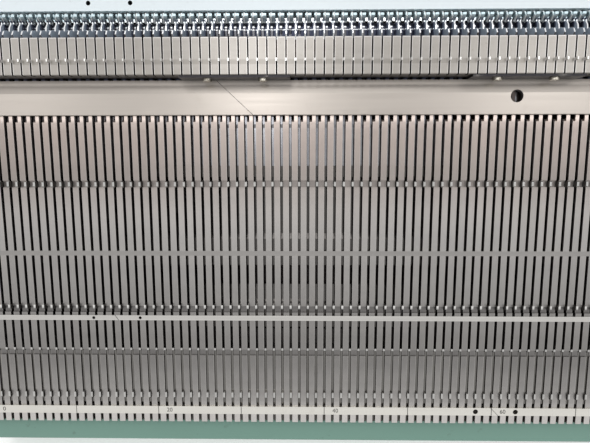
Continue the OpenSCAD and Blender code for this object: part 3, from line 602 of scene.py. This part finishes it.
def scale_ticks(ink):
    """Dark fillings of the marks at every tenth needle."""
    work = bmesh.new()
    for index in range(0, NEEDLES, SCALE_STEP):
        size = Matrix.Diagonal((FILLING_WIDTH * MM, (SCALE_WIDTH - 0.3) * MM, FILLING_DEPTH * MM, 1))
        place = bed_matrix(needle_x(index), SCALE_MIDDLE, SCALE_RISE - FILLING_DEPTH / 2 - 0.01)
        made = bmesh.ops.create_cube(work, size=1, matrix=place @ size)
        edges = {e for v in made["verts"] for e in v.link_edges}
        bmesh.ops.bevel(
            work, geom=list(edges), offset=FILLING_BEVEL * MM, affect="EDGES",
            segments=1, profile=0.5, material=-1,
        )
    return new_piece("scale_mark_fillings", work, ink, "base")


def scale_numbers(ink):
    """Numbers to the right of every second mark, as thin raised ink."""
    work = bmesh.new()
    for index in range(0, NEEDLES, 2 * SCALE_STEP):
        curve = bpy.data.curves.new(f"number_{index}", "FONT")
        curve.body = str(index)
        curve.size = NUMBER_HEIGHT * MM
        curve.extrude = NUMBER_THICKNESS / 2 * MM
        curve.align_x = "LEFT"
        curve.align_y = "CENTER"
        text = bpy.data.objects.new(f"number_{index}", curve)
        bpy.context.scene.collection.objects.link(text)
        graph = bpy.context.evaluated_depsgraph_get()
        mesh = bpy.data.meshes.new_from_object(text.evaluated_get(graph))
        place = bed_matrix(needle_x(index) + NUMBER_SHIFT, SCALE_MIDDLE, SCALE_RISE + NUMBER_THICKNESS / 2)
        mesh.transform(place)
        work.from_mesh(mesh)
        bpy.data.objects.remove(text)
        bpy.data.curves.remove(curve)
        bpy.data.meshes.remove(mesh)
    bmesh.ops.remove_doubles(work, verts=work.verts, dist=1e-7)
    return new_piece("scale_numbers", work, ink, "base")


def floor():
    """A plain pale floor that reaches the horizon."""
    work = bmesh.new()
    bmesh.ops.create_grid(work, x_segments=1, y_segments=1, size=30)
    mesh = bpy.data.meshes.new("floor")
    work.to_mesh(mesh)
    work.free()
    f = Finish("pale_floor")
    f.coat((0.9, 0.9, 0.89), 0.8, 0.0)
    # The camera sees it near white, and it lights the unit as its colour says
    seen = f.node("ShaderNodeLightPath").outputs["Is Camera Ray"]
    f.put(f.shader.inputs["Emission Strength"], f.times(seen, FLOOR_GLOW))
    mesh.materials.append(f.material)
    ground = bpy.data.objects.new("floor", mesh)
    bpy.context.scene.collection.objects.link(ground)


def background():
    """A white surround for the camera and for reflections, dimmer as a light."""
    world = bpy.data.worlds.new("studio")
    world.use_nodes = True
    bpy.context.scene.world = world
    tree = world.node_tree
    shade = tree.nodes["Background"]
    shade.inputs["Color"].default_value = (1, 1, 1, 1)
    path = tree.nodes.new("ShaderNodeLightPath")
    seen = tree.nodes.new("ShaderNodeMath")
    seen.operation = "MAXIMUM"
    tree.links.new(path.outputs["Is Camera Ray"], seen.inputs[0])
    both = tree.nodes.new("ShaderNodeMath")
    both.operation = "MAXIMUM"
    tree.links.new(path.outputs["Is Glossy Ray"], seen.inputs[1])
    tree.links.new(seen.outputs[0], both.inputs[0])
    tree.links.new(path.outputs["Is Transmission Ray"], both.inputs[1])
    strength = tree.nodes.new("ShaderNodeMapRange")
    tree.links.new(both.outputs[0], strength.inputs["Value"])
    strength.inputs["To Min"].default_value = SURROUND_LIGHT
    strength.inputs["To Max"].default_value = SURROUND_SEEN
    tree.links.new(strength.outputs["Result"], shade.inputs["Strength"])


def area_light(name, place, target, size, power):
    """A rectangular lamp at a place, turned to a target; metres and watts."""
    lamp = bpy.data.lights.new(name, "AREA")
    lamp.shape = "RECTANGLE"
    lamp.size, lamp.size_y = size
    lamp.energy = power
    light = bpy.data.objects.new(name, lamp)
    light.location = place
    aim = Vector(target) - Vector(place)
    light.rotation_euler = aim.to_track_quat("-Z", "Y").to_euler()
    bpy.context.scene.collection.objects.link(light)


def camera():
    """The camera stands over the upper half of the front bed and looks a little down its slope."""
    lean, yaw, roll = (math.radians(angle) for angle in (CAMERA_LEAN, CAMERA_YAW, CAMERA_ROLL))
    right = Vector((1, 0, 0))
    look = DOWN * math.sin(lean) - OUT * math.cos(lean)
    below = DOWN * math.cos(lean) + OUT * math.sin(lean)
    look, right = (
        look * math.cos(yaw) + right * math.sin(yaw),
        right * math.cos(yaw) - look * math.sin(yaw),
    )
    x_axis = right * math.cos(roll) - below * math.sin(roll)
    y_axis = -(below * math.cos(roll) + right * math.sin(roll))
    lens = bpy.data.cameras.new("camera")
    lens.lens = lens.sensor_width * FOCAL_PIXELS / PICTURE_WIDTH
    lens.clip_start, lens.clip_end = 0.01, 100
    eye = bpy.data.objects.new("camera", lens)
    turn = Matrix((x_axis, y_axis, -look)).transposed().to_4x4()
    eye.matrix_world = Matrix.Translation(bed_point(*CAMERA_PLACE)) @ turn
    bpy.context.scene.collection.objects.link(eye)
    bpy.context.scene.camera = eye


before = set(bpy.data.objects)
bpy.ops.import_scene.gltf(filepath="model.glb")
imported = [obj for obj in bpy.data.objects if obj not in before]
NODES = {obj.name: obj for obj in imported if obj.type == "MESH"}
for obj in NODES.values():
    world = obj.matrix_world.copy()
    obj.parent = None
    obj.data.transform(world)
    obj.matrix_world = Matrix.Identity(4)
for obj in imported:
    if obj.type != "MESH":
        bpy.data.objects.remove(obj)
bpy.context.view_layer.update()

singles = (1, 2, 3)
dress(["base_casting"], green_paint())
dress(["front_bed"], ground_steel_bed())
dress(["rear_bed"], ground_steel_bed(rear=True))
dress(["front_sinker_bar"], bar_steel())
dress(
    ["front_cover_strip_left", "front_cover_strip_right"],
    strip_steel("cover_strip_steel", COVER_RISE, (0.416, 0.379, 0.344), bevel=(COVER_START, COVER_BEVEL)),
)
dress(
    ["front_scale_strip_left", "front_scale_strip_right"],
    strip_steel("scale_strip_steel", SCALE_RISE, (0.71, 0.69, 0.64)),
)
dress(
    ["front_jack_strip_left", "front_jack_strip_right"],
    strip_steel(
        "jack_strip_steel", JACK_STRIP_RISE, (0.53, 0.515, 0.49), rim=(JACK_STRIP_START, JACK_STRIP_WIDTH),
    ),
)
dress(["front_flush_strip"], strip_steel("flush_strip_steel", 0, (0.31, 0.297, 0.285)))
dress(
    ["rear_cover_strip", "rear_flush_strip", "rear_jack_strip", "rear_scale_strip"],
    strip_steel("rear_strip_steel", REAR_STRIPS_LEVEL, (0.60, 0.575, 0.545), rear=True),
)
dress(["front_sinkers", *[f"sinker_{k}" for k in singles]], sinker_steel())
dress(["rear_comb_plates"], comb_steel())
dress(
    ["front_needles", *[f"needle_{k}" for k in singles], *[f"latch_{k}" for k in singles]],
    needle_steel(),
)
dress(["rear_needles"], needle_steel(rear=True))
dress(["rear_needle_jacks", "rear_lifting_jacks", "rear_selectors"], jack_steel(rear=True))
dress(
    [
        "front_needle_jacks", "front_lifting_jacks", "front_selectors",
        *[f"{kind}_{k}" for kind in ("needle_jack", "lifting_jack", "selector") for k in singles],
    ],
    jack_steel(),
)
dress(
    ["front_keeper_plates", "front_sinker_wire", "front_bed_bolts", "rear_bed_bolts"],
    black_steel(),
)
dress(["front_keeper_screws"], screw_steel())
dress(["rear_rail"], pale_paint())

ink = dark_ink()
scale_ticks(ink)
scale_numbers(ink)

bpy.context.scene.view_settings.view_transform = "Standard"
floor()
background()
area_light("ceiling", (0, 0.05, 1.35), (0, 0, 0.2), (1.0, 0.8), 6)
area_light("window", (-0.115, -0.6, 1.1), (0, -0.04, 0.18), (0.2, 0.36), 0.95)
area_light("left_window", (-0.85, -0.6, 1.1), (-0.1, -0.04, 0.18), (0.3, 0.36), 0.5)
area_light("right_window", (0.7, -0.6, 1.1), (0.1, -0.04, 0.18), (0.4, 0.36), 0.88)
camera()
